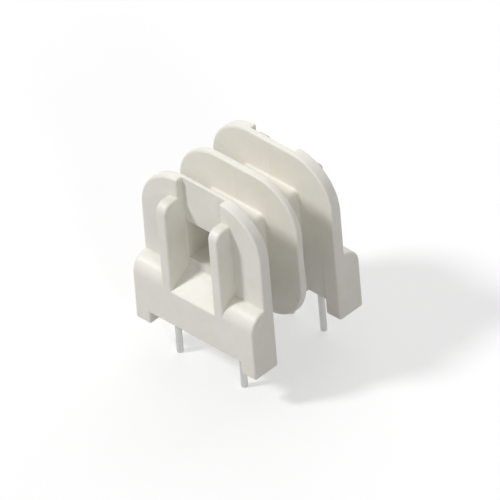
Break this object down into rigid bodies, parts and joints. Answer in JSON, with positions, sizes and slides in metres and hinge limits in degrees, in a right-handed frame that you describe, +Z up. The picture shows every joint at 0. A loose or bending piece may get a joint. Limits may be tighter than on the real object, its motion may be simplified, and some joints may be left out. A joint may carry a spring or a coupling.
{
  "type": "transformer bobbin",
  "caption": "Moulded sectioned coil former for a small transformer, with a rectangular core bore, flanges on foot blocks, yoke guide ribs and straight terminal pins for a circuit board.",
  "frame": {"origin": "centre of the outer four terminal pins, in the seating plane, which is the underside of the feet", "axes": "+X across the flanges, +Y along the winding and core bore towards the end with the middle pin, +Z up from the circuit board"},
  "size_m": [0.0186, 0.0176, 0.0255],
  "materials": {
    "moulded_plastic": "natural moulded, fine even grain",
    "tinned_wire": "drawn wire with a satin tin coat"
  },
  "bodies": {
    "root": {"bobbin": "moulded_plastic", "pin_front_left": "tinned_wire", "pin_front_right": "tinned_wire", "pin_rear_left": "tinned_wire", "pin_rear_middle": "tinned_wire", "pin_rear_right": "tinned_wire"}
  },
  "joints": []
}
